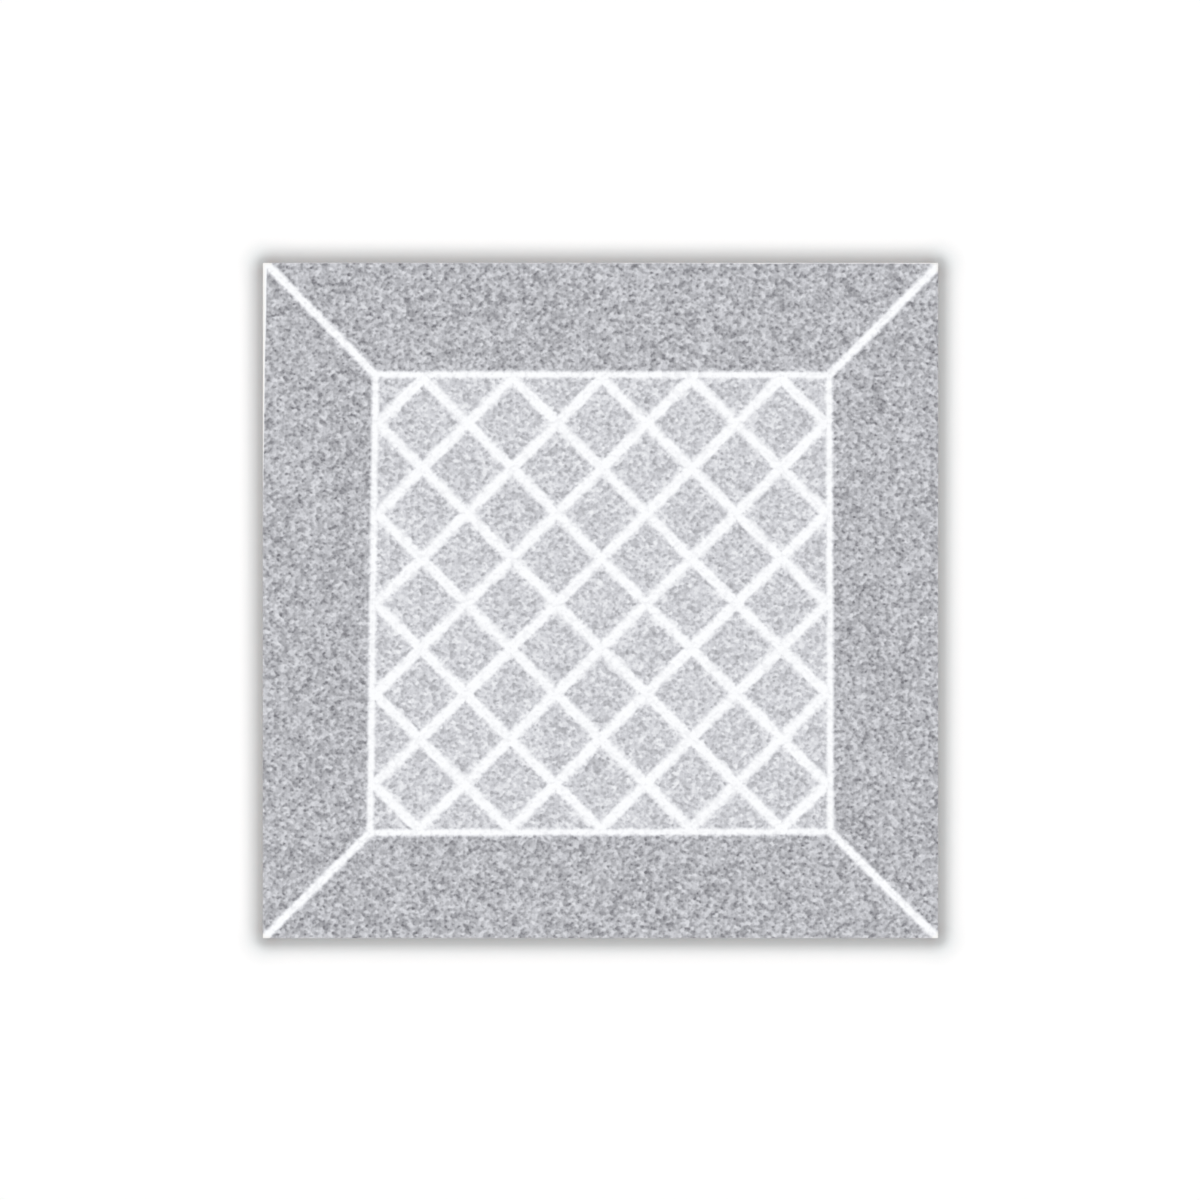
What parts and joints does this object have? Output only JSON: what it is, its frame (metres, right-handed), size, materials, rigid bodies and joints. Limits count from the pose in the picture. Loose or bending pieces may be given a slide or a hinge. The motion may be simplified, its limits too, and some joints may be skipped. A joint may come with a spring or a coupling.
{
  "type": "red body ceramic tile",
  "caption": "Square red-body ceramic floor tile: speckled grey glazed face with a white lattice in a mitred frame, rounded edges and a ribbed back that keys into adhesive.",
  "frame": {"origin": "middle of the back, on the plane of the rib tops that the tile rests on", "axes": "+Z out of the glazed face, +X and +Y square to the sides, with +Y up in the reference view"},
  "size_m": [0.3, 0.3, 0.008],
  "materials": {
    "glazed_red_clay": "satin white glaze with a speckled grey print on the face and lip, bare fired red clay on the sides and back"
  },
  "bodies": {
    "root": {"tile": "glazed_red_clay"}
  },
  "joints": []
}
